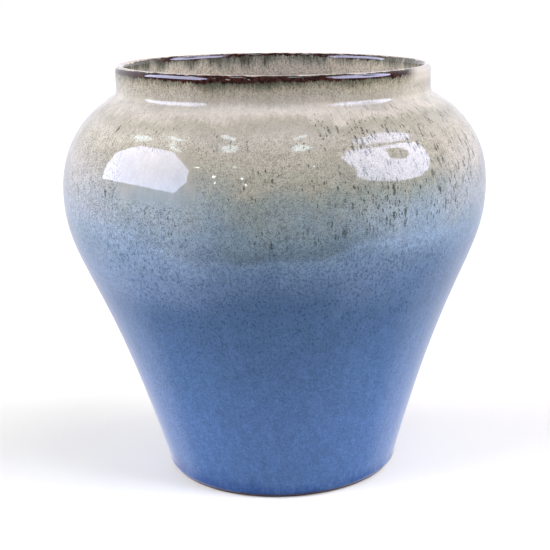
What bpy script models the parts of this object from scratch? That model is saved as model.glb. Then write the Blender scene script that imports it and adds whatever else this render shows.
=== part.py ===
"""A wide-bellied stoneware flower vase, built up as it is made in the pottery.

A thrown clay body stands on a bare foot ring. Four coats of fired glaze cover the body: a blue coat on the
lower wall, a cream coat on the shoulder and neck, an iron-brown coat over the lip, and a pale liner inside.
Everything is turned about +Z, with the table at z = 0. Units are metres.
"""

import math

import bmesh
import bpy
from mathutils import Vector

# Driving dimensions of the finished, glazed surface.
HEIGHT = 0.270                # table to the top of the lip
BELLY_RADIUS = 0.1384         # widest part of the pot
BELLY_HEIGHT = 0.192
NECK_RADIUS = 0.1016
FOOT_RADIUS = 0.0766          # where the wall's line meets the table

# How the outline leaves each of those places.
FOOT_SLOPE = 0.273            # radius gained per unit of height at the foot
FOOT_PULL = 0.150             # reach of the wall's curve from the foot
BELLY_PULL_DOWN = 0.0455      # reach of the wall's curve below the belly
BELLY_PULL_UP = 0.0375        # reach of the shoulder's curve above the belly
NECK_PULL = 0.0115            # reach of the shoulder's curve at the neck
SHOULDER_ANGLE = math.radians(33)    # shoulder above the horizontal where it meets the neck
NECK_FILLET = 0.005
NECK_ROOT_HEIGHT = 0.255      # top of the fillet between shoulder and neck

# Wall, floor and coats.
LIP_THICKNESS = 0.0053
FOOT_THICKNESS = 0.0090       # the wall thickens evenly from the neck down to this
FLOOR_HEIGHT = 0.0145         # top of the glazed floor inside
FLOOR_FILLET = 0.010
COAT = 0.0008                 # thickness of each glaze coat
GAP = 0.0003                  # clearance between neighbouring solids

# Where the coats end.
BLUE_FOOT_EDGE = 0.002        # the blue coat stops just above the table
BLUE_TOP = 0.170              # blue gives way to cream on the upper wall
BROWN_EDGE = 0.265            # the brown coat covers everything above this, outside and in

# Foot ring.
RING_HEIGHT = 0.005
RING_INNER_RADIUS = 0.0635
RING_CHAMFER = 0.0012

# How finely the shapes are cut.
SEGMENTS = 48                 # flats around the axis
CURVE_STEPS = 60              # points on each curve of the outline before it is thinned
POINT_SPACING = 0.028         # length of profile that earns one point
POINT_TURN = math.radians(28)        # turn of the profile that earns one point
SHARP_EDGE = math.radians(40)


def direction(angle):
    """Unit vector in the (radius, height) plane, with its angle measured from outwards."""
    return Vector((math.cos(angle), math.sin(angle)))


def bezier(start, start_pull, end_pull, end):
    """Points of a cubic curve, without its last point."""
    points = []
    for step in range(CURVE_STEPS):
        t = step / CURVE_STEPS
        s = 1 - t
        points.append(start * s**3 + start_pull * (3 * s * s * t) + end_pull * (3 * s * t * t) + end * t**3)
    return points


def arc(centre, radius, start_angle, end_angle):
    """Points of an arc, without its last point."""
    turn = (end_angle - start_angle) / CURVE_STEPS
    return [centre + radius * direction(start_angle + turn * step) for step in range(CURVE_STEPS)]


def sunk(line, depths):
    """A line of (radius, height) points moved to its left, away from the side that shows, by each depth."""
    moved = []
    for i, (point, depth) in enumerate(zip(line, depths)):
        along = (line[min(i + 1, len(line) - 1)] - line[max(i - 1, 0)]).normalized()
        moved.append(point + depth * Vector((-along.y, along.x)))
    return moved


def outer_line():
    """The outside of the pot from the table up to the neck's root."""
    foot = Vector((FOOT_RADIUS, 0))
    belly = Vector((BELLY_RADIUS, BELLY_HEIGHT))
    wall_direction = Vector((FOOT_SLOPE, 1)).normalized()
    wall = bezier(foot, foot + wall_direction * FOOT_PULL, belly - Vector((0, BELLY_PULL_DOWN)), belly)

    fillet_centre = Vector((NECK_RADIUS + NECK_FILLET, NECK_ROOT_HEIGHT))
    fillet_start = math.radians(270) - SHOULDER_ANGLE
    shoulder_top = fillet_centre + NECK_FILLET * direction(fillet_start)
    shoulder_pull = shoulder_top + NECK_PULL * direction(-SHOULDER_ANGLE)
    shoulder = bezier(belly, belly + Vector((0, BELLY_PULL_UP)), shoulder_pull, shoulder_top)
    fillet = arc(fillet_centre, NECK_FILLET, fillet_start, math.pi)
    return wall + shoulder + fillet + [Vector((NECK_RADIUS, NECK_ROOT_HEIGHT))]


def inner_line(outside):
    """The inside of the pot from the neck's root down to the middle of the floor."""
    thickening = FOOT_THICKNESS - LIP_THICKNESS
    depths = [LIP_THICKNESS + thickening * max(0, 1 - point.y / NECK_ROOT_HEIGHT) for point in outside]
    wall = [point for point in sunk(outside, depths)[::-1] if point.y > FLOOR_HEIGHT + FLOOR_FILLET]
    fillet_centre = Vector((wall[-1].x - FLOOR_FILLET, FLOOR_HEIGHT + FLOOR_FILLET))
    fillet = arc(fillet_centre, FLOOR_FILLET, 0, -math.pi / 2)
    return wall[:-1] + fillet + [Vector((fillet_centre.x, FLOOR_HEIGHT)), Vector((0, FLOOR_HEIGHT))]


def glazed_surface():
    """The finished surface, from the table up the outside, over the lip and down to the floor's middle."""
    outside = outer_line()
    lip_radius = LIP_THICKNESS / 2
    lip_centre = Vector((NECK_RADIUS - lip_radius, HEIGHT - lip_radius))
    return outside + arc(lip_centre, lip_radius, 0, math.pi) + inner_line(outside)


def place_at(surface, height, inside=False):
    """Where the surface crosses a height, counted in points along it."""
    top = max(range(len(surface)), key=lambda i: surface[i].y)
    for i in range(top, len(surface) - 1) if inside else range(top):
        rise = surface[i + 1].y - surface[i].y
        share = (height - surface[i].y) / rise if rise else -1
        if 0 <= share < 1:
            return i + share
    raise ValueError("the surface never crosses that height")


def point_at(line, place):
    i = min(int(place), len(line) - 2)
    return line[i].lerp(line[i + 1], place - i)


def places_between(surface, start, end):
    """Places from start up to end, closer together where the surface turns."""
    steps = 400
    fine = [start + (end - start) * step / steps for step in range(steps + 1)]
    points = [point_at(surface, place) for place in fine]
    effort = [0.0, (points[1] - points[0]).length / POINT_SPACING]
    for i in range(2, len(points)):
        stretch = points[i] - points[i - 1]
        turn = stretch.angle(points[i - 1] - points[i - 2])
        effort.append(effort[-1] + stretch.length / POINT_SPACING + turn / POINT_TURN)
    count = math.ceil(effort[-1])
    kept = []
    for place, spent in zip(fine[:-1], effort):
        if spent >= len(kept) * effort[-1] / count:
            kept.append(place)
    return kept


def turned(name, profile, colour, roughness):
    """A solid of revolution from a closed profile, or from one that starts and ends on the axis."""
    shape = bmesh.new()
    corners = [shape.verts.new((point.x, 0, point.y)) for point in profile]
    edges = [shape.edges.new(pair) for pair in zip(corners, corners[1:])]
    if profile[0].x > 0:
        edges.append(shape.edges.new((corners[-1], corners[0])))
    bmesh.ops.spin(shape, geom=corners + edges, cent=(0, 0, 0), axis=(0, 0, 1),
                   angle=math.tau, steps=SEGMENTS)
    bmesh.ops.remove_doubles(shape, verts=shape.verts, dist=0.000001)
    bmesh.ops.recalc_face_normals(shape, faces=shape.faces)
    mesh = bpy.data.meshes.new(name)
    shape.to_mesh(mesh)
    shape.free()
    mesh.shade_smooth()
    mesh.set_sharp_from_angle(angle=SHARP_EDGE)
    mesh.materials.append(plain_material(name, colour, roughness))
    bpy.context.scene.collection.objects.link(bpy.data.objects.new(name, mesh))


def plain_material(name, colour, roughness):
    material = bpy.data.materials.new(name)
    material.use_nodes = True
    shader = material.node_tree.nodes["Principled BSDF"]
    shader.inputs["Base Color"].default_value = (*colour, 1)
    shader.inputs["Roughness"].default_value = roughness
    shader.inputs["Metallic"].default_value = 0
    return material


def foot_ring(clay_surface):
    """The bare ring that the pot stands on, chamfered along both edges of its flat underside."""
    outside_low = point_at(clay_surface, place_at(clay_surface, RING_CHAMFER))
    outside_top = point_at(clay_surface, place_at(clay_surface, RING_HEIGHT))
    profile = [
        Vector((outside_low.x - RING_CHAMFER, 0)),
        outside_low,
        outside_top,
        Vector((RING_INNER_RADIUS, RING_HEIGHT)),
        Vector((RING_INNER_RADIUS, RING_CHAMFER)),
        Vector((RING_INNER_RADIUS + RING_CHAMFER, 0)),
    ]
    turned("foot_ring", profile, (0.36, 0.22, 0.15), 0.85)


def clay_body(clay_surface, places):
    """The thrown pot, with a flat underside just above the foot ring."""
    skin = [point_at(clay_surface, place) for place in places]
    underside_height = RING_HEIGHT + GAP
    skin[0].y = underside_height
    turned("clay_body", [Vector((0, underside_height))] + skin, (0.42, 0.30, 0.22), 0.80)


def coat(name, surface, coat_back, places, colour):
    """One glaze coat: a skin with its face on the finished surface."""
    face = [point_at(surface, place) for place in places]
    back = [point_at(coat_back, place) for place in places]
    turned(name, back[::-1] + face, colour, 0.12)


def main():
    for old in list(bpy.data.objects):
        bpy.data.objects.remove(old)

    surface = glazed_surface()
    coat_back = sunk(surface, [COAT] * len(surface))
    clay_surface = sunk(surface, [COAT + GAP] * len(surface))

    foot_edge = place_at(surface, BLUE_FOOT_EDGE)
    clay_edge = place_at(surface, RING_HEIGHT + GAP)
    blue_end = place_at(surface, BLUE_TOP - GAP)
    cream_start = place_at(surface, BLUE_TOP)
    cream_end = place_at(surface, BROWN_EDGE - GAP)
    brown_start = place_at(surface, BROWN_EDGE)
    brown_end = place_at(surface, BROWN_EDGE, inside=True)
    liner_start = place_at(surface, BROWN_EDGE - GAP, inside=True)
    floor_middle = len(surface) - 1
    cuts = [foot_edge, clay_edge, blue_end, cream_start, cream_end, brown_start, brown_end, liner_start,
            floor_middle]
    places = [place for cut, after in zip(cuts, cuts[1:]) for place in places_between(surface, cut, after)]
    places.append(floor_middle)

    def stretch(start, end):
        return [place for place in places if start <= place <= end]

    foot_ring(clay_surface)
    clay_body(clay_surface, stretch(clay_edge, floor_middle))
    coat("blue_lower_glaze", surface, coat_back, stretch(foot_edge, blue_end), (0.08, 0.15, 0.36))
    coat("cream_upper_glaze", surface, coat_back, stretch(cream_start, cream_end), (0.48, 0.44, 0.37))
    coat("brown_rim_glaze", surface, coat_back, stretch(brown_start, brown_end), (0.06, 0.022, 0.014))
    coat("liner_glaze", surface, coat_back, stretch(liner_start, floor_middle), (0.36, 0.33, 0.27))


main()
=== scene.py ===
"""The looks of a glazed stoneware flower vase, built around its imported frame.

The CAD solids are faceted. Here each is turned again at a fine pitch, with the small unevenness of a thrown
pot, and given its glaze or bare clay. Units are metres; the front of the vase faces -Y.
"""
import math

import bpy
import numpy as np
from mathutils import Matrix, Vector
from mathutils.geometry import tessellate_polygon

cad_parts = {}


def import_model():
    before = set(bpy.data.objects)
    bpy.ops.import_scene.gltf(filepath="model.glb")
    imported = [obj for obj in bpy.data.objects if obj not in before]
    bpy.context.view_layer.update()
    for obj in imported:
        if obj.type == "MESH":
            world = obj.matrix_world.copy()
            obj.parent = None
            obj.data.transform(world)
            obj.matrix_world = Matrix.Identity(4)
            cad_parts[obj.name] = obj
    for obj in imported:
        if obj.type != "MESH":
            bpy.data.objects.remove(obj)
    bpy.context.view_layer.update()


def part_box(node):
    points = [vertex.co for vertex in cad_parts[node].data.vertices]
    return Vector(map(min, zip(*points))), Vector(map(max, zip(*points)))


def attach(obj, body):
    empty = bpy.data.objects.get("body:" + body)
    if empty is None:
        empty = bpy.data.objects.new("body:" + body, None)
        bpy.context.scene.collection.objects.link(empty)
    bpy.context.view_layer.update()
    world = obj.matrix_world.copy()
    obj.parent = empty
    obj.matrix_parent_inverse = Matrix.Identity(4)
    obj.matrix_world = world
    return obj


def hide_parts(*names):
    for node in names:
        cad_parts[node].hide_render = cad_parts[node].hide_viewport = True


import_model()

# ---- Sizes ----------------------------------------------------------------------------------------------

MM = 0.001

# From the frame.
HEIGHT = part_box("brown_rim_glaze")[1].z
NECK_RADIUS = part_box("brown_rim_glaze")[1].x
BROWN_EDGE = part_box("brown_rim_glaze")[0].z
BELLY_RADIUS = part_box("cream_upper_glaze")[1].x
BLUE_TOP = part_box("cream_upper_glaze")[0].z
BLUE_FOOT_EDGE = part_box("blue_lower_glaze")[0].z
RING_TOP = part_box("foot_ring")[1].z
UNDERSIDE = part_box("clay_body")[0].z
COAT = 0.0008                 # thickness of each glaze coat
CLAY_DEPTH = 0.0011           # clay surface below the glazed surface
FLOOR_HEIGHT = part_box("liner_glaze")[0].z + COAT

# The outline's own shape, as the frame's solids have it. A pull is how far a curve's handle reaches.
BELLY_HEIGHT = 0.192
FOOT_RADIUS = 0.0766
FOOT_SLOPE = 0.273
FOOT_PULL = 0.150
BELLY_PULL_DOWN = 0.0455
BELLY_PULL_UP = 0.0375
NECK_PULL = 0.0115
SHOULDER_ANGLE = math.radians(33)
NECK_FILLET = 0.005
NECK_ROOT_HEIGHT = 0.255
LIP_THICKNESS = 0.0053
FOOT_THICKNESS = 0.0090
FLOOR_FILLET = 0.010
RING_INNER_RADIUS = 0.0635

# How finely the outline and the surfaces are cut.
CURVE_STEPS = 240
ARC_STEPS = 120
NECK_STEPS = 60
FLOOR_STEPS = 80
ROW_STEPS = 4000              # steps in which the rows of faces are measured out
SEGMENTS = 360
FACE_ROW = 0.0016             # height of a row of faces on a surface that shows
INNER_ROW = 0.0025            # the same inside, where less shows
BACK_ROW = 0.012              # the same on a hidden back
ROW_TURN = math.radians(5)    # a row also ends where the surface has turned this far
SHARP_TURN = math.radians(45)  # an edge between faces that turn further is left sharp
FLOW_RADIUS = 0.120           # radius on which the flow coordinates run round the pot

# What the visible model adds to the CAD shapes.
LIP_RISE = 0.0038             # the lip rounds over a little taller than a half circle
BEAD_HEIGHT = 0.0042          # the glaze gathers in a bead this high above the table
BEAD_SPREAD = 0.0018
BEAD_DEPTH = 0.00045
EDGE_ROUND = 0.0011           # the glaze rounds in under its lower edge over this height
EDGE_DEPTH = 0.0006
RING_ROUND = 0.0014           # radius of the foot ring's two lower edges
RING_PROUD = 0.0002           # how far it stands out there, and half as much again just above
RIM_TILT = math.radians(-1.3)  # the rim's plane dips towards +X
TILT_SHIFT = 0.060            # and the rim moves to +X by what the tilt lifts at this radius
OUT_OF_ROUND = ((2, 0.0012, 0.7), (3, 0.0006, 2.1))  # bulges round the wall: number, depth, turn

# ---- The outline -------------------------------------------------------------------------------------


def direction(angle):
    return np.array([math.cos(angle), math.sin(angle)])


def bezier(start, start_pull, end_pull, end, steps=CURVE_STEPS):
    t = np.linspace(0, 1, steps, endpoint=False)[:, None]
    s = 1 - t
    return s**3 * start + 3 * s * s * t * start_pull + 3 * s * t * t * end_pull + t**3 * end


def arc(centre, radius, start, end, steps=ARC_STEPS):
    angles = np.linspace(start, end, steps, endpoint=False)[:, None]
    return centre + radius * np.hstack([np.cos(angles), np.sin(angles)])


def left_normals(line):
    along = np.gradient(line, axis=0)
    along /= np.linalg.norm(along, axis=1)[:, None]
    return np.stack([-along[:, 1], along[:, 0]], axis=1)


def sunk(line, depth):
    """The line moved away from the side that shows, by one depth or by a depth for each point."""
    return line + left_normals(line) * np.broadcast_to(depth, len(line))[:, None]


def outer_line():
    """(radius, height) points up the outside, from the table to the start of the lip."""
    foot = np.array([FOOT_RADIUS, 0])
    belly = np.array([BELLY_RADIUS, BELLY_HEIGHT])
    wall_direction = np.array([FOOT_SLOPE, 1]) / math.hypot(FOOT_SLOPE, 1)
    wall = bezier(foot, foot + wall_direction * FOOT_PULL, belly - [0, BELLY_PULL_DOWN], belly)
    fillet_centre = np.array([NECK_RADIUS + NECK_FILLET, NECK_ROOT_HEIGHT])
    fillet_start = math.radians(270) - SHOULDER_ANGLE
    shoulder_top = fillet_centre + NECK_FILLET * direction(fillet_start)
    shoulder_pull = shoulder_top + NECK_PULL * direction(-SHOULDER_ANGLE)
    shoulder = bezier(belly, belly + [0, BELLY_PULL_UP], shoulder_pull, shoulder_top)
    fillet = arc(fillet_centre, NECK_FILLET, fillet_start, math.pi)
    neck_root = [NECK_RADIUS, NECK_ROOT_HEIGHT]
    neck = np.linspace(neck_root, [NECK_RADIUS, HEIGHT - LIP_RISE], NECK_STEPS, endpoint=False)
    return np.vstack([wall, shoulder, fillet, neck])


def whole_line():
    """The glazed surface: up the outside, over the lip and down the inside to the middle of the floor."""
    outside = outer_line()
    drop = np.clip(1 - outside[:, 1] / NECK_ROOT_HEIGHT, 0, None)
    inside = sunk(outside, LIP_THICKNESS + (FOOT_THICKNESS - LIP_THICKNESS) * drop)[::-1]
    inside = inside[inside[:, 1] > FLOOR_HEIGHT + FLOOR_FILLET]
    lip = arc(np.zeros(2), 1.0, 0, math.pi) * [LIP_THICKNESS / 2, LIP_RISE]
    lip += [NECK_RADIUS - LIP_THICKNESS / 2, HEIGHT - LIP_RISE]
    fillet_centre = np.array([inside[-1, 0] - FLOOR_FILLET, FLOOR_HEIGHT + FLOOR_FILLET])
    fillet = arc(fillet_centre, FLOOR_FILLET, 0, -math.pi / 2)
    floor = np.linspace([fillet_centre[0], FLOOR_HEIGHT], [0, FLOOR_HEIGHT], FLOOR_STEPS)
    return np.vstack([outside, lip, inside[:-1], fillet, floor])


LINE = whole_line()
TOP_INDEX = int(np.argmax(LINE[:, 1]))
RUN = np.concatenate([[0], np.cumsum(np.linalg.norm(np.diff(LINE, axis=0), axis=1))])  # metres along the line
LENGTH = RUN[-1]
LIP_TOP = RUN[TOP_INDEX]


def run_at(height, inside=False):
    """How far along the surface a height lies."""
    part = slice(TOP_INDEX, None) if inside else slice(0, TOP_INDEX + 1)
    heights, runs = LINE[part, 1], RUN[part]
    return float(np.interp(height, heights[::-1], runs[::-1]) if inside else np.interp(height, heights, runs))


def at_run(line, runs):
    return np.stack([np.interp(runs, RUN, line[:, 0]), np.interp(runs, RUN, line[:, 1])], axis=1)


def rows(start, end, row):
    """Distances along the surface from start to end, closer together where it turns."""
    fine = np.linspace(start, end, ROW_STEPS)
    points = at_run(LINE, fine)
    headings = np.unwrap(np.arctan2(*np.gradient(points, axis=0).T[::-1]))
    effort = np.concatenate([[0], np.cumsum(np.diff(fine) / row + np.abs(np.diff(headings)) / ROW_TURN)])
    return np.interp(np.linspace(0, effort[-1], math.ceil(effort[-1]) + 1), effort, fine)


# ---- The thrown pot's unevenness ------------------------------------------------------------------------


def smooth(low, high, value):
    t = np.clip((value - low) / (high - low), 0, 1)
    return t * t * (3 - 2 * t)


def foot_bead(line, runs):
    """The glaze gathers in a small bead above its lower edge and rounds in under it."""
    height = line[:, 1]
    bead = BEAD_DEPTH * np.exp(-(((height - BEAD_HEIGHT) / BEAD_SPREAD) ** 2))
    edge = EDGE_DEPTH * np.clip(1 - (height - BLUE_FOOT_EDGE) / EDGE_ROUND, 0, 1) ** 2
    outside = runs < run_at(BELLY_HEIGHT)
    line = line.copy()
    line[:, 0] += np.where(outside, bead - edge, 0)
    return line


def hand_thrown(points):
    """Moves finished points as the wheel and the kiln did: out of round, with the rim not quite level."""
    x, y, z = points.T
    angle = np.arctan2(y, x)
    swell = smooth(0.0, BELLY_HEIGHT, z)
    bulges = sum(depth * np.cos(number * angle + turn) for number, depth, turn in OUT_OF_ROUND)
    stretch = 1 + swell * bulges
    above_belly = smooth(BELLY_HEIGHT, HEIGHT, z)
    lift = math.tan(RIM_TILT) * x * above_belly
    lean = -math.tan(RIM_TILT) * TILT_SHIFT * above_belly
    return np.stack([x * stretch + lean, y * stretch, z + lift], axis=1)


# The line of the second dip is lowest at the front and highest at the left: degrees from the front
# towards +X, and millimetres above the table.
DIP_LINE = (
    (-180, 178), (-140, 184), (-100, 196), (-62, 198), (-48, 190),
    (-34, 180), (-22, 169.5), (10, 169), (20, 177), (36, 179.5),
    (60, 176), (90, 181), (125, 173), (155, 172), (180, 178),
)


def above_dip(points, runs):
    """How far along the surface each point lies above the dip line."""
    degrees = np.degrees(np.arctan2(points[:, 0], -points[:, 1]))
    angles, heights = np.array(DIP_LINE).T
    waves = 0.7 * np.sin(np.radians(degrees * 7)) + 0.4 * np.sin(np.radians(degrees * 17 + 40))  # millimetres
    height = (np.interp(degrees, angles, heights) + waves) * MM
    return runs - np.interp(height, LINE[:TOP_INDEX, 1], RUN[:TOP_INDEX])


# ---- Turning --------------------------------------------------------------------------------------------


def turned(name, profile, runs, closed):
    """A solid of revolution from (radius, height) points, with the coordinates that its glaze needs.

    The points run up its outer side. Each has its distance along the glazed surface in runs.
    """
    angles = np.linspace(0, math.tau, SEGMENTS, endpoint=False)
    ring = np.stack([np.cos(angles), np.sin(angles)], axis=1)
    on_axis = [not closed and i in (0, len(profile) - 1) for i in range(len(profile))]
    points, flow, starts = [], [], []
    for (radius, height), run, pole in zip(profile, runs, on_axis):
        starts.append(sum(len(p) for p in points))
        spokes = ring[:1] if pole else ring
        points.append(np.column_stack([spokes * (0 if pole else radius), np.full(len(spokes), height)]))
        flow.append(np.column_stack([spokes * FLOW_RADIUS, np.full(len(spokes), run)]))
    faces = []
    pairs = [(i, i + 1) for i in range(len(profile) - 1)] + ([(len(profile) - 1, 0)] if closed else [])
    for low, high in pairs:
        for i in range(SEGMENTS):
            j = (i + 1) % SEGMENTS
            if on_axis[low]:
                faces.append((starts[low], starts[high] + j, starts[high] + i))
            elif on_axis[high]:
                faces.append((starts[low] + i, starts[low] + j, starts[high]))
            else:
                faces.append((starts[low] + i, starts[low] + j, starts[high] + j, starts[high] + i))
    mesh = bpy.data.meshes.new(name)
    points, flow = np.vstack(points), np.vstack(flow)
    mesh.from_pydata(hand_thrown(points), [], faces)
    attribute = mesh.attributes.new("flow", "FLOAT_VECTOR", "POINT")
    attribute.data.foreach_set("vector", flow.astype(np.float32).ravel())
    attribute = mesh.attributes.new("above_dip", "FLOAT", "POINT")
    attribute.data.foreach_set("value", above_dip(points, flow[:, 2]).astype(np.float32))
    mesh.shade_smooth()
    mesh.set_sharp_from_angle(angle=SHARP_TURN)
    mesh.validate()
    piece = bpy.data.objects.new(name, mesh)
    bpy.context.scene.collection.objects.link(piece)
    return piece


def coat(name, node, material, start, end, face_row=FACE_ROW):
    """One glaze coat: a fine face on the finished surface and a plain back against the clay."""
    face_runs = rows(start, end, face_row)
    back_runs = rows(start, end, BACK_ROW)
    face = foot_bead(at_run(LINE, face_runs), face_runs)
    back = at_run(sunk(LINE, COAT), back_runs)
    profile = np.vstack([back[::-1], face])
    runs = np.concatenate([back_runs[::-1], face_runs])
    closed = end < LENGTH
    finish(turned(name, profile, runs, closed), node, material)


def clay_body(material):
    start = run_at(UNDERSIDE)
    runs = rows(start, LENGTH, BACK_ROW)
    skin = at_run(sunk(LINE, CLAY_DEPTH), runs)
    skin[0, 1] = UNDERSIDE
    profile = np.vstack([[0, UNDERSIDE], [RING_INNER_RADIUS, UNDERSIDE], skin])
    finish(turned("thrown_body", profile, np.concatenate([[0, 0], runs]), closed=False),
           "clay_body", material)


def foot_ring(material):
    wall = sunk(LINE, CLAY_DEPTH)[:CURVE_STEPS]
    radius_low, radius_high = np.interp([0, RING_TOP], wall[:, 1], wall[:, 0])
    outer_centre = np.array([radius_low + RING_PROUD - RING_ROUND, RING_ROUND])
    inner_centre = np.array([RING_INNER_RADIUS + RING_ROUND, RING_ROUND])
    outer = arc(outer_centre, RING_ROUND, -math.pi / 2, 0, steps=8)
    inner = arc(inner_centre, RING_ROUND, math.pi, 1.5 * math.pi, steps=8)
    profile = np.vstack([outer, [radius_low + 1.5 * RING_PROUD, RING_ROUND], [radius_high, RING_TOP],
                         [RING_INNER_RADIUS, RING_TOP], inner, [inner_centre[0], 0]])
    finish(turned("bare_foot", profile, np.zeros(len(profile)), closed=True),
           "foot_ring", material)


def finish(piece, node, material):
    piece.data.materials.append(material)
    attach(piece, "root")
    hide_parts(node)


# ---- Materials ------------------------------------------------------------------------------------------

GLAZE_IOR = 1.35
RIM_IOR = 1.42

# How the colour runs up the outside: millimetres along the surface from the table, and the colour, 0 to 255.
GLAZE_STOPS = (
    # At the foot the blue is darkest: partly the glaze pooling there, partly painted shade where the pot
    # meets the floor.
    (0, (40, 63, 108)),
    (15, (70, 95, 132)),
    (50, (71, 95, 132)),
    (95, (66, 90, 122)),
    (150, (62, 83, 109)),
    (165, (73, 92, 115)),
    (190, (91, 105, 112)),
    (205, (101, 108, 105)),
    (215, (106, 110, 101)),
    (225, (122, 118, 102)),
    (240, (132, 125, 107)),
    (250, (138, 131, 114)),
    (260, (127, 120, 102)),
    (270, (156, 147, 129)),
    (280, (135, 129, 114)),
    (285, (126, 118, 100)),
    (288, (91, 88, 72)),
    (291, (54, 54, 42)),
)

# The same down the inside, in millimetres from the top of the lip.
INSIDE_STOPS = (
    (1, (64, 60, 48)),
    (3.5, (96, 94, 80)),
    (6, (128, 122, 106)),
    (9, (156, 145, 125)),
    (60, (168, 153, 131)),
)

# The colours that lie over those, 0 to 255.
PALE_BLUE = (116, 136, 164)
MILK_BLUE = (170, 184, 206)
# A painted sheen, lighter and warmer, at both sides of the shoulder.
WARM_SIDE_SHEEN = (194, 182, 190)
GRAIN_TINT = (136, 141, 138)
INDIGO = (34, 56, 84)
DASH_GREEN = (32, 40, 29)
LIP_GREEN = (46, 46, 32)
INSIDE_GREEN = (66, 70, 54)
BARE_CREAM = (150, 142, 126)
# The lip's top: cream, partly the glaze's own colour and partly a painted reflection of the light from above.
LIP_CREAM_AND_SHEEN_DARK = (142, 126, 108)
LIP_CREAM_AND_SHEEN_LIGHT = (172, 160, 144)
IRON_BLACK = (12, 8, 8)
IRON_RED = (52, 24, 16)

# The sizes that the dashes come in: width and height in millimetres, and the share of places left empty.
DASH_SIZES = ((1.2, 3.6, 0.86), (1.7, 5.5, 0.88), (2.8, 9.0, 0.90))


def linear(red, green, blue):
    """A colour given as 0 to 255 display values, as the shader wants it."""
    def one(value):
        value /= 255
        return value / 12.92 if value <= 0.04045 else ((value + 0.055) / 1.055) ** 2.4
    return (one(red), one(green), one(blue), 1.0)


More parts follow.
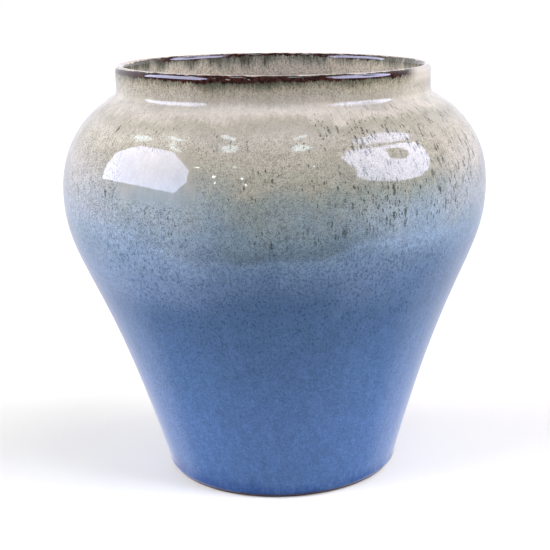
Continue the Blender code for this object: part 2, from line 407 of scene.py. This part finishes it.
class Nodes:
    """A material's node tree, with short ways to add and join nodes. Most of them return an output socket.

    The coordinates flow and place are in metres. All other lengths are in millimetres.
    """

    def __init__(self, name, roughness, ior=1.5):
        self.material = bpy.data.materials.new(name)
        self.material.use_nodes = True
        self.tree = self.material.node_tree
        self.shader = self.tree.nodes["Principled BSDF"]
        self.shader.inputs["Roughness"].default_value = roughness
        self.shader.inputs["IOR"].default_value = ior

    def add(self, kind, **settings):
        node = self.tree.nodes.new(kind)
        for key, value in settings.items():
            setattr(node, key, value)
        return node

    def feed(self, socket, value):
        if isinstance(value, bpy.types.NodeSocket):
            self.tree.links.new(value, socket)
        else:
            socket.default_value = value

    # Where a point lies.

    def flow(self):
        """Coordinates in which the way the glaze ran is the third axis."""
        return self.add("ShaderNodeAttribute", attribute_name="flow").outputs["Vector"]

    def drawn(self, squeeze):
        """Flow coordinates squeezed so that noise in them is drawn out down the wall."""
        return self.scaled(self.flow(), 1, 1, squeeze)

    def place(self):
        return self.add("ShaderNodeTexCoord").outputs["Object"]

    def run(self):
        """Distance along the surface from the table, up the outside and on over the lip."""
        return self.times(self.part(self.flow(), 2), 1 / MM)

    def past_lip(self):
        """Distance along the surface past the top of the lip: below 0 outside, above 0 inside."""
        return self.minus(self.run(), LIP_TOP / MM)

    def above_dip(self):
        """Distance along the surface above the dip line."""
        return self.times(self.add("ShaderNodeAttribute", attribute_name="above_dip").outputs["Fac"], 1 / MM)

    def across(self):
        """Distance from the middle towards +X."""
        return self.times(self.part(self.place(), 0), 1 / MM)

    def beside(self):
        """Distance from the middle towards either side."""
        return self.math("ABSOLUTE", self.across())

    # Sums.

    def part(self, vector, axis):
        split = self.add("ShaderNodeSeparateXYZ")
        self.feed(split.inputs[0], vector)
        return split.outputs[axis]

    def scaled(self, vector, x, y, z):
        node = self.add("ShaderNodeVectorMath", operation="MULTIPLY")
        self.feed(node.inputs[0], vector)
        self.feed(node.inputs[1], (x, y, z))
        return node.outputs[0]

    def math(self, operation, first, second=0.0):
        node = self.add("ShaderNodeMath", operation=operation)
        self.feed(node.inputs[0], first)
        self.feed(node.inputs[1], second)
        return node.outputs[0]

    def plus(self, total, *others):
        for other in others:
            total = self.math("ADD", total, other)
        return total

    def minus(self, first, second):
        return self.math("SUBTRACT", first, second)

    def times(self, product, *others):
        for other in others:
            product = self.math("MULTIPLY", product, other)
        return product

    def most(self, first, *others):
        for other in others:
            first = self.math("MAXIMUM", first, other)
        return first

    def span(self, value, low, high, to_low=0.0, to_high=1.0, smooth=True):
        """The value brought from low..high to to_low..to_high, and held at the ends."""
        kind = "SMOOTHSTEP" if smooth else "LINEAR"
        node = self.add("ShaderNodeMapRange", interpolation_type=kind, clamp=True)
        for socket, number in zip(node.inputs, (value, low, high, to_low, to_high)):
            self.feed(socket, number)
        return node.outputs[0]

    def band(self, value, low, high, soft):
        """1 between low and high, fading to 0 over soft on each side of both."""
        rise = self.span(value, low - soft, low + soft)
        fall = self.span(value, high - soft, high + soft, 1.0, 0.0)
        return self.times(rise, fall)

    # Textures.

    def noise(self, vector, size, detail=2.0, roughness=0.5):
        """Noise whose patches are about size across."""
        node = self.add("ShaderNodeTexNoise")
        self.feed(node.inputs["Vector"], vector)
        self.feed(node.inputs["Scale"], 1 / (size * MM))
        self.feed(node.inputs["Detail"], detail)
        self.feed(node.inputs["Roughness"], roughness)
        return node.outputs["Fac"]

    def stray(self, noise, reach, spread=0.2):
        """A noise brought to between -reach and reach, which it meets spread away from its middle."""
        return self.span(noise, 0.5 - spread, 0.5 + spread, -reach, reach, smooth=False)

    def cells(self, wide, tall):
        """Distance to the nearest of points scattered over the surface, in cells, and that point's chance."""
        node = self.add("ShaderNodeTexVoronoi")
        self.feed(node.inputs["Vector"], self.scaled(self.flow(), 1 / wide, 1 / wide, 1 / tall))
        self.feed(node.inputs["Scale"], 1 / MM)
        return node.outputs["Distance"], self.part(node.outputs["Color"], 0)

    # Colours.

    def ramp(self, value, stops):
        """A colour ramp from (position, display colour) stops."""
        node = self.add("ShaderNodeValToRGB")
        elements = node.color_ramp.elements
        while len(elements) < len(stops):
            elements.new(0.5)
        for element, (position, colour) in zip(elements, stops):
            element.position = position
            element.color = linear(*colour)
        self.feed(node.inputs[0], value)
        return node.outputs[0]

    def colours_along(self, distance, stops):
        """The colour at a distance, from (distance, display colour) stops."""
        last = stops[-1][0]
        share = self.span(distance, 0, last, smooth=False)
        return self.ramp(share, [(at / last, colour) for at, colour in stops])

    def mix(self, factor, first, second, blend="MIX"):
        node = self.add("ShaderNodeMix", data_type="RGBA", blend_type=blend)
        self.feed(node.inputs["Factor"], factor)
        self.feed(node.inputs[6], first)
        self.feed(node.inputs[7], second)
        return node.outputs[2]

    def tint(self, colour, towards, factor):
        """The colour brought towards a display colour."""
        return self.mix(factor, colour, linear(*towards))

    def brightness(self, colour, factor):
        """The colour made lighter or darker by a factor."""
        node = self.add("ShaderNodeVectorMath", operation="SCALE")
        self.feed(node.inputs[0], colour)
        self.feed(node.inputs["Scale"], factor)
        return node.outputs[0]

    # The surface.

    def bump(self, height, distance, under=None):
        node = self.add("ShaderNodeBump")
        self.feed(node.inputs["Height"], height)
        self.feed(node.inputs["Distance"], distance * MM)
        if under is not None:
            self.feed(node.inputs["Normal"], under)
        return node.outputs[0]

    def done(self, colour, normal):
        self.feed(self.shader.inputs["Base Color"], colour)
        self.feed(self.shader.inputs["Normal"], normal)
        return self.material


# In the layers below, the ends of a span or band are millimetres on the pot, or values from 0 to 1 where they
# cut a noise or another span. The plain number among the things that are multiplied is a layer's strength.


def glaze_colour(n):
    """Blue under cream, run together on the belly, with olive specks, and dark under the lip."""
    colour = wall_colour(n)
    for layer in (dip_edges, milky_belts, grain, soft_tones, indigo_flecks, dark_dashes, lip_shades):
        colour = layer(n, colour)
    return colour


def clouds(n):
    return n.noise(n.place(), 26, detail=3)


def wall_colour(n):
    """The colours up the wall. Clouds and streaks move them up and down, less so near the lip.

    The dark under the lip comes down furthest at the front left.
    """
    streaks = n.noise(n.drawn(0.2), 2.2, detail=3)
    shift = n.plus(n.stray(clouds(n), 6), n.stray(streaks, 2.5))
    moved = n.plus(n.run(), n.times(shift, n.span(n.run(), 262, 284, 1.0, 0.35)))
    deep = n.span(n.band(n.across(), -44, 4, 10), 0.0, 1.0, -1.8, 1.0)
    moved = n.plus(moved, n.times(deep, n.span(n.past_lip(), -20, -11)))
    return n.colours_along(moved, GLAZE_STOPS)


def dip_edges(n, colour):
    """Just under the dip line the glaze is a little paler, and just above it darker."""
    above = n.above_dip()
    ragged = n.plus(above, n.stray(n.noise(n.place(), 1.3, roughness=0.6), 1.6))
    pale = n.times(n.span(ragged, -22, -5), n.span(ragged, -1.6, 1.4, 1.0, 0.0),
                   n.span(clouds(n), 0.3, 0.7, 0.04, 0.20), n.span(n.across(), -60, 60, 0.8, 1.1))
    dark = n.times(n.span(ragged, -1.0, 1.5), n.span(above, 4, 15, 1.0, 0.0),
                   n.span(n.beside(), 30, 80, 0.17, 0.02))
    return n.brightness(n.tint(colour, PALE_BLUE, pale), n.minus(1.0, dark))


def milky_belts(n, colour):
    """The belly is milkier at the sides: tall at the left, in two belts at the right. High up at both ends it
    is painted lighter and warmer, a painted sheen where the side light falls.
    """
    run, across, beside = n.run(), n.across(), n.beside()
    left = n.times(n.span(across, -66, -16, 1.0, 0.0), n.band(run, 146, 224, 12),
                   n.span(beside, 88, 122, 1.0, 0.4))
    right = n.times(n.band(across, 50, 104, 20), n.band(run, 180, 211, 11))
    below = n.times(n.band(across, 32, 82, 14), n.band(n.above_dip(), -46, -2, 9))
    # Painted sheen: high up at both sides the shoulder is painted lighter and warmer, where the side light
    # falls.
    ends = n.times(n.span(beside, 82, 116), n.band(run, 194, 238, 12))
    milky = n.most(n.times(left, 0.15), n.times(right, 0.16), n.times(below, 0.055))
    return n.tint(n.tint(colour, MILK_BLUE, milky), WARM_SIDE_SHEEN, n.times(ends, 0.12))


def grain(n, colour):
    """Fine dark and light specks. They are calmest high on the left shoulder."""
    run, across = n.run(), n.across()
    fine = n.noise(n.drawn(0.85), 0.62, detail=1.5, roughness=0.65)
    specks = n.plus(n.times(fine, 0.76), n.times(n.noise(n.place(), 2.4), 0.24))
    calm = n.times(n.band(across, -90, -44, 8), n.band(run, 212, 242, 5))
    creamy = n.times(n.span(run, 240, 264), n.span(run, 277, 284, 1.0, 0.15))
    amount = n.times(
        n.span(across, -80, -30, 1.35, 1.0),
        n.span(n.above_dip(), -26, 4, 0.55, 1.0),
        n.span(calm, 0.0, 1.0, 1.0, 0.15),
        n.span(run, 80, 140, 1.5, 1.0),
        n.span(creamy, 0.0, 1.0, 1.0, 0.45),
    )
    dark = n.times(n.span(specks, 0.53, 0.37), amount)
    light = n.times(n.span(specks, 0.50, 0.66), amount)
    darkened = n.mix(1.0, colour, linear(*GRAIN_TINT), "MULTIPLY")
    colour = n.mix(n.times(dark, 0.56), colour, darkened)
    return n.brightness(colour, n.plus(1.0, n.times(light, 0.21)))


def soft_tones(n, colour):
    """Lighter high on the left shoulder, and softly mottled all over."""
    high = n.times(n.band(n.across(), -110, -48, 10), n.band(n.run(), 240, 264, 7))
    colour = n.brightness(colour, n.plus(1.0, n.times(high, 0.16)))
    mottle = n.noise(n.drawn(0.8), 7)
    return n.brightness(colour, n.plus(1.0, n.stray(mottle, 0.07)))


def indigo_flecks(n, colour):
    """Indigo flecks in the blue, thickest in a belt below the dip line."""
    above = n.above_dip()
    belt = n.times(n.span(above, -110, -38, 0.3, 1.0), n.span(above, -16, 8, 1.0, 0.0))
    fleck = n.span(n.noise(n.drawn(0.6), 1.25, roughness=0.6), 0.51, 0.66)
    return n.tint(colour, INDIGO, n.times(fleck, belt, 0.62))


def dark_dashes(n, colour):
    return n.tint(colour, DASH_GREEN, n.times(dashes(n), 0.84))


def lip_shades(n, colour):
    """Towards the lip dark green specks crowd together, and then the iron shows as a ragged brown band."""
    across, past_lip = n.across(), n.past_lip()
    specks = n.noise(n.drawn(0.45), 1.1, detail=2.5, roughness=0.6)
    specks = n.plus(specks, n.span(past_lip, -15, -5, -0.22, 0.10, smooth=False))
    colour = n.tint(colour, LIP_GREEN, n.times(n.span(specks, 0.50, 0.64), 0.6))
    thick = n.band(across, -66, -8, 8)
    edge = n.plus(past_lip, rim_waver(n), n.span(thick, 0.0, 1.0, 0.0, 0.9))
    brown = n.times(n.span(edge, -5.5, -4.6), rim_top(n, -1, 1.0, thick))
    colour = n.mix(brown, colour, iron(n))
    bare = n.times(n.span(across, 80, 90), n.span(past_lip, -12, -7))
    return n.tint(colour, BARE_CREAM, n.times(bare, 0.85))


def rim_waver(n):
    """How far up or down the ragged edge of the brown band strays."""
    narrow = n.noise(n.drawn(0.4), 1.3, roughness=0.6)
    wide = n.noise(n.drawn(0.4), 6, detail=1)
    return n.plus(n.stray(wide, 0.9, spread=0.25), n.stray(narrow, 0.9, spread=0.25))


def rim_top(n, side, reach, thick=0.0):
    """0 on the cream top of the lip and 1 beyond it, on the outer side (-1) or the inner side (1).

    The cream is partly the glaze's colour and partly a painted reflection of the light from above. It comes
    down further than reach, most of all at the left end, and least where the brown is thick.
    """
    away = n.plus(n.times(n.past_lip(), side), n.stray(n.noise(n.flow(), 9, detail=4, roughness=0.6), 0.7))
    start = n.span(thick, 0.0, 1.0, reach + 0.8, reach + 0.1)
    start = n.plus(start, n.span(n.across(), -96, -78, 1.3, 0.0))
    return n.span(n.minus(away, start), -0.35, 0.35)


def iron(n):
    """Red-brown where the glaze breaks thin over the iron in the clay."""
    return n.ramp(n.noise(n.place(), 2.2, detail=3), ((0.36, IRON_BLACK), (0.66, IRON_RED)))


def dashes(n):
    """Where dark dashes ran down with the glaze: dense on the +X side, few on the other."""
    run, across = n.run(), n.across()
    gathered = n.times(n.band(across, 34, 84, 14), n.band(run, 190, 226, 9))
    sparse = n.plus(n.times(n.band(across, -90, -38, 8), 0.3), n.times(n.band(across, 26, 76, 8), 0.12))
    crowd = n.plus(
        n.stray(n.noise(n.place(), 26, detail=1), 0.12),
        n.span(across, -10, 60, -0.04, 0.20),
        n.times(gathered, 0.09),
    )
    crowd = n.minus(crowd, n.times(sparse, n.band(run, 214, 240, 5)))
    broken = n.stray(n.noise(n.place(), 0.8), 0.22)
    zone = n.times(n.span(n.above_dip(), -6, 14), n.span(run, 258, 277, 1.0, 0.3))
    found = 0.0
    for wide, tall, empty in DASH_SIZES:
        distance, chance = n.cells(wide, tall)
        dash = n.times(n.span(n.plus(distance, broken), 0.42, 0.14),
                       n.span(n.plus(chance, crowd), empty, empty + 0.12))
        found = n.most(found, n.times(dash, zone))
    return found


def glaze_bump(n):
    """The ripple of a thick running glaze, a finer ripple towards the right, and a pit at each dash."""
    ripple = n.noise(n.drawn(0.5), 7, detail=1)
    fine = n.times(n.noise(n.drawn(0.25), 2.0, detail=1), n.span(n.across(), -20, 60, 0.15, 1.0))
    pits = n.bump(n.times(dashes(n), -1.0), 0.02)
    return n.bump(fine, 0.03, n.bump(ripple, 0.06, pits))


def inside_colour(n):
    """Tan, with brown and then dark green running down from the lip. The brown fades at the two ends."""
    across, beside, down = n.across(), n.beside(), n.past_lip()
    streaks = n.noise(n.drawn(0.16), 1.6, detail=3, roughness=0.6)
    patches = n.noise(n.drawn(0.3), 11)
    moved = n.plus(down, n.stray(streaks, 3.5), n.stray(patches, 2.5, spread=0.15))
    colour = n.colours_along(n.minus(moved, n.span(across, -40, 30, 3.0, 0.8)), INSIDE_STOPS)
    green = n.times(n.span(streaks, 0.53, 0.66), n.span(down, 6, 30, 1.0, 0.3))
    colour = n.tint(colour, INSIDE_GREEN, n.times(green, 0.62))
    specks = n.noise(n.place(), 1.1, roughness=0.6)
    colour = n.brightness(colour, n.span(specks, 0.3, 0.7, 0.58, 1.32, smooth=False))
    edge = n.minus(n.plus(down, rim_waver(n)), n.times(n.span(beside, 10, 62), 1.5))
    brown = n.times(rim_top(n, 1, 0.6), n.span(edge, 2.9, 3.9, 1.0, 0.0), n.span(beside, 70, 84, 1.0, 0.1))
    return n.mix(brown, colour, iron(n))


def outer_glaze():
    n = Nodes("outer_glaze", roughness=0.045, ior=GLAZE_IOR)
    return n.done(glaze_colour(n), glaze_bump(n))


def rim_glaze():
    """The lip's glaze: cream along the top, and the outer and the inner colours to either side."""
    n = Nodes("iron_brown_glaze", roughness=0.05, ior=RIM_IOR)
    patches = n.span(n.noise(n.place(), 1.2), 0.4, 0.6)
    # The cream top is partly the glaze's colour and partly a painted reflection of the light from above.
    top = n.mix(patches, linear(*LIP_CREAM_AND_SHEEN_DARK), linear(*LIP_CREAM_AND_SHEEN_LIGHT))
    outer_side = n.mix(rim_top(n, -1, 0.2), top, glaze_colour(n))
    inner_side = n.mix(rim_top(n, 1, 0.6), top, inside_colour(n))
    return n.done(n.mix(n.span(n.past_lip(), -0.1, 0.1), outer_side, inner_side), glaze_bump(n))


def liner():
    n = Nodes("liner_glaze", roughness=0.10, ior=GLAZE_IOR)
    return n.done(inside_colour(n), glaze_bump(n))


def bare_clay(name, dark, light):
    n = Nodes(name, roughness=0.85)
    sand = n.noise(n.place(), 0.8, detail=4, roughness=0.7)
    return n.done(n.ramp(sand, ((0.3, dark), (0.7, light))), n.bump(sand, 0.1))


# ---- Pieces ---------------------------------------------------------------------------------------------

outer = outer_glaze()
blue_top = run_at(BLUE_TOP)
brown_start = run_at(BROWN_EDGE)
brown_end = run_at(BROWN_EDGE, inside=True)
coat("lower_wall_glaze", "blue_lower_glaze", outer, run_at(BLUE_FOOT_EDGE), blue_top)
coat("upper_wall_glaze", "cream_upper_glaze", outer, blue_top, brown_start)
coat("lip_glaze", "brown_rim_glaze", rim_glaze(), brown_start, brown_end)
coat("inner_glaze", "liner_glaze", liner(), brown_end, LENGTH, INNER_ROW)
clay_body(bare_clay("fired_clay", (120, 84, 64), (158, 118, 92)))
# The foot ring's bare clay is painted far darker than the body's clay: painted shade where the pot meets the
# floor.
foot_ring(bare_clay("bare_foot_clay", (46, 32, 28), (80, 56, 46)))

# ---- Studio ---------------------------------------------------------------------------------------------

WHITE = (1, 1, 1)
FLOOR_RADIUS = 30
FLOOR_COLOUR = (0.62, 0.585, 0.495)
BACKDROP_RADIUS = 12          # near enough for the camera of every view
ROOM_COLOUR = (0.95, 0.95, 1.05)
ROOM_STRENGTH = 0.18

CAMERA_PLACE = (-0.0015, -0.7876, 0.3275)
CAMERA_LENS = 78.6            # millimetres, as is the sensor
CAMERA_SENSOR = 36
CAMERA_DIP = 14.21            # degrees below level
CAMERA_ROLL = -1.77           # degrees

LIGHT_DISTANCE = 5.0
SHOULDER = Vector((0, 0, 0.22))
LAMP_RADIANCE = 14.6
LAMP_TINT = (0.85, 0.89, 1.25)
FILL_RADIANCE = 9.5
SMALL_TINT = (0.78, 0.97, 1.02)
BULB_RADIANCE = 55.0
BULB_TINT = (0.9, 1.0, 1.0)

# Outlines of the lamps as the shoulder sees them: degrees round from the front towards +X, and degrees up.
LEFT_LAMP = (
    (-104, 9), (-106, 28), (-99, 40), (-74, 47), (-62, 42), (-51, 34), (-48, 23), (-53, 12), (-76, 13),
)
RIGHT_LAMP = (
    (46, 47), (57, 52), (70, 50), (77, 47), (91, 43), (101, 37), (99, 29), (95, 21),
    (90, 15), (84, 12), (74, 12), (63, 14), (50, 19), (45, 25), (47, 34), (45, 41),
)
RIGHT_LAMP_GAP = ((78, 43), (84, 42), (89, 38), (88, 32), (82, 29), (74, 34))
RIGHT_STRIP = ((71, 59), (90, 57), (102, 53), (109, 45), (109, 40), (101, 41), (92, 45), (75, 52))
RIGHT_FILL = ((60, 2), (60, 32), (110, 32), (110, 2))
LEFT_FILL = [(-azimuth, elevation) for azimuth, elevation in RIGHT_FILL]
SMALL_LAMPS = (     # radiance, outline
    (9, ((-113, 40), (-113, 43), (-108, 46), (-101, 48), (-101, 44), (-105, 40.5))),
    (9, ((-100, 53), (-96, 56), (-82, 57.5), (-88, 54.5))),
    (8, ((-89, 54), (-85, 54), (-77, 50), (-81, 49))),
    (9, ((-83, 49), (-77, 50.5), (-66, 49), (-74, 47.5))),
    (12, ((-75, 71), (-73, 74), (-50, 73), (-48, 71), (-61, 70.5))),
    (11, ((-48, 62), (-46, 66), (-34, 65), (-31, 59), (-37, 57), (-44, 58.5))),
    (12, ((31, 75), (49, 77), (63, 76), (44, 74), (32, 73.5))),
    (14, ((18, 66), (29, 68.5), (36, 62), (26, 60), (17, 60))),
)
BULBS = (     # degrees round, degrees up, width and height in degrees
    (-34, 31, 1.6, 2.4), (-32, 25, 1.3, 1.4), (-18, 30.5, 1.3, 2.4), (-16, 24, 1.3, 3.0),
    (-24, 43, 3.0, 0.7), (-47, 38.5, 3.0, 0.7), (4, 25.5, 1.0, 1.2), (24, 41, 1.4, 1.2),
)


def towards(azimuth, elevation):
    a, e = math.radians(azimuth), math.radians(elevation)
    return Vector((math.sin(a) * math.cos(e), -math.cos(a) * math.cos(e), math.sin(e)))


def lamp(name, outline, radiance, tint, gap=(), mirrored=True):
    """A soft lamp far from the vase, with the outline that the vase sees, and perhaps a gap in it."""
    loops = [[Vector((*corner, 0)) for corner in loop] for loop in (outline, gap) if loop]
    corners = [SHOULDER + LIGHT_DISTANCE * towards(*corner[:2]) for loop in loops for corner in loop]
    mesh = bpy.data.meshes.new(name)
    mesh.from_pydata(corners, [], tessellate_polygon(loops))
    shade = bpy.data.materials.new(name)
    shade.use_nodes = True
    glow = shade.node_tree.nodes.new("ShaderNodeEmission")
    glow.inputs["Color"].default_value = (*tint, 1)
    glow.inputs["Strength"].default_value = radiance
    surface = shade.node_tree.nodes["Material Output"].inputs["Surface"]
    shade.node_tree.links.new(glow.outputs[0], surface)
    mesh.materials.append(shade)
    panel = bpy.data.objects.new(name, mesh)
    bpy.context.scene.collection.objects.link(panel)
    panel.visible_camera = False
    panel.visible_glossy = mirrored


def oval(azimuth, elevation, width, height, corners=10):
    """The outline of a small oval lamp; a degree round is shorter high up."""
    spread = 0.5 * width / math.cos(math.radians(elevation))
    angles = [math.tau * i / corners for i in range(corners)]
    return [(azimuth + spread * math.cos(a), elevation + 0.5 * height * math.sin(a)) for a in angles]


def floor():
    """A pale matt floor that fades into plain white away from the vase. It isn't seen in reflections."""
    bpy.ops.mesh.primitive_circle_add(vertices=96, radius=FLOOR_RADIUS, fill_type="NGON")
    disc = bpy.context.object
    disc.name = "studio_floor"
    n = Nodes("studio_floor", roughness=0.9)
    x, y = n.part(n.place(), 0), n.part(n.place(), 1)
    metres_out = n.math("SQRT", n.plus(n.times(x, x), n.times(y, y)))
    n.feed(n.shader.inputs["Emission Strength"], n.span(metres_out, 0.5, 6.0, 0.0, 0.9))
    n.shader.inputs["Emission Color"].default_value = (*WHITE, 1)
    n.shader.inputs["Base Color"].default_value = (*FLOOR_COLOUR, 1)
    n.shader.inputs["Specular IOR Level"].default_value = 0.0
    disc.data.materials.append(n.material)
    disc.visible_glossy = False


def backdrop():
    """A white shell far away, for the camera only: it lights nothing and shows in no reflection."""
    bpy.ops.mesh.primitive_uv_sphere_add(segments=48, ring_count=24, radius=BACKDROP_RADIUS)
    shell = bpy.context.object
    shell.name = "studio_backdrop"
    n = Nodes("studio_backdrop", roughness=1.0)
    n.shader.inputs["Base Color"].default_value = (0, 0, 0, 1)
    n.shader.inputs["Specular IOR Level"].default_value = 0.0
    n.shader.inputs["Emission Color"].default_value = (*WHITE, 1)
    n.shader.inputs["Emission Strength"].default_value = 1.0
    shell.data.materials.append(n.material)
    shell.visible_diffuse = False
    shell.visible_glossy = False
    shell.visible_transmission = False
    shell.visible_shadow = False


def world():
    """A dim room with pale walls behind the vase and beside it, which gives light and reflections."""
    surroundings = bpy.data.worlds.new("studio")
    surroundings.use_nodes = True
    tree = surroundings.node_tree

    def node(kind, settings, sources):
        made = tree.nodes.new(kind)
        for key, value in settings.items():
            setattr(made, key, value)
        for socket, source in zip(made.inputs, sources):
            if isinstance(source, bpy.types.NodeSocket):
                tree.links.new(source, socket)
            else:
                socket.default_value = source
        return made.outputs[0]

    def span(*value_and_ends):
        return node("ShaderNodeMapRange", {"interpolation_type": "SMOOTHSTEP"}, value_and_ends)

    def times(first, second):
        return node("ShaderNodeMath", {"operation": "MULTIPLY"}, (first, second))

    split = tree.nodes.new("ShaderNodeSeparateXYZ")
    tree.links.new(tree.nodes.new("ShaderNodeTexCoord").outputs["Generated"], split.inputs[0])
    back, up = split.outputs[1], split.outputs[2]
    behind = times(span(back, 0.05, 0.45, 0.0, 1.15), span(back, 0.70, 0.95, 1.0, 0.8))
    low_down = times(span(up, 0.45, 0.85, 1.0, 0.0), span(up, -0.10, 0.05, 0.75, 1.0))
    strength = node("ShaderNodeMath", {"operation": "ADD"}, (times(behind, low_down), ROOM_STRENGTH))
    background = tree.nodes["Background"]
    tree.links.new(strength, background.inputs["Strength"])
    background.inputs["Color"].default_value = (*ROOM_COLOUR, 1)
    bpy.context.scene.world = surroundings


def camera():
    data = bpy.data.cameras.new("camera")
    data.lens = CAMERA_LENS
    data.sensor_width = CAMERA_SENSOR
    view = bpy.data.objects.new("camera", data)
    turn = Matrix.Rotation(math.radians(90 - CAMERA_DIP), 4, "X")
    roll = Matrix.Rotation(math.radians(CAMERA_ROLL), 4, "Z")
    view.matrix_world = Matrix.Translation(CAMERA_PLACE) @ turn @ roll
    bpy.context.scene.collection.objects.link(view)
    bpy.context.scene.camera = view


floor()
backdrop()
world()
camera()
lamp("left_lamp", LEFT_LAMP, 0.94 * LAMP_RADIANCE, LAMP_TINT)
lamp("right_lamp", RIGHT_LAMP, LAMP_RADIANCE, LAMP_TINT, gap=RIGHT_LAMP_GAP)
lamp("right_strip", RIGHT_STRIP, 0.7 * LAMP_RADIANCE, LAMP_TINT)
lamp("right_fill", RIGHT_FILL, FILL_RADIANCE, WHITE, mirrored=False)
lamp("left_fill", LEFT_FILL, FILL_RADIANCE, WHITE, mirrored=False)
for number, (radiance, outline) in enumerate(SMALL_LAMPS):
    lamp(f"small_lamp_{number}", outline, radiance, SMALL_TINT)
for number, bulb in enumerate(BULBS):
    lamp(f"bulb_{number}", oval(*bulb), BULB_RADIANCE, BULB_TINT)
bpy.context.scene.view_settings.view_transform = "Standard"
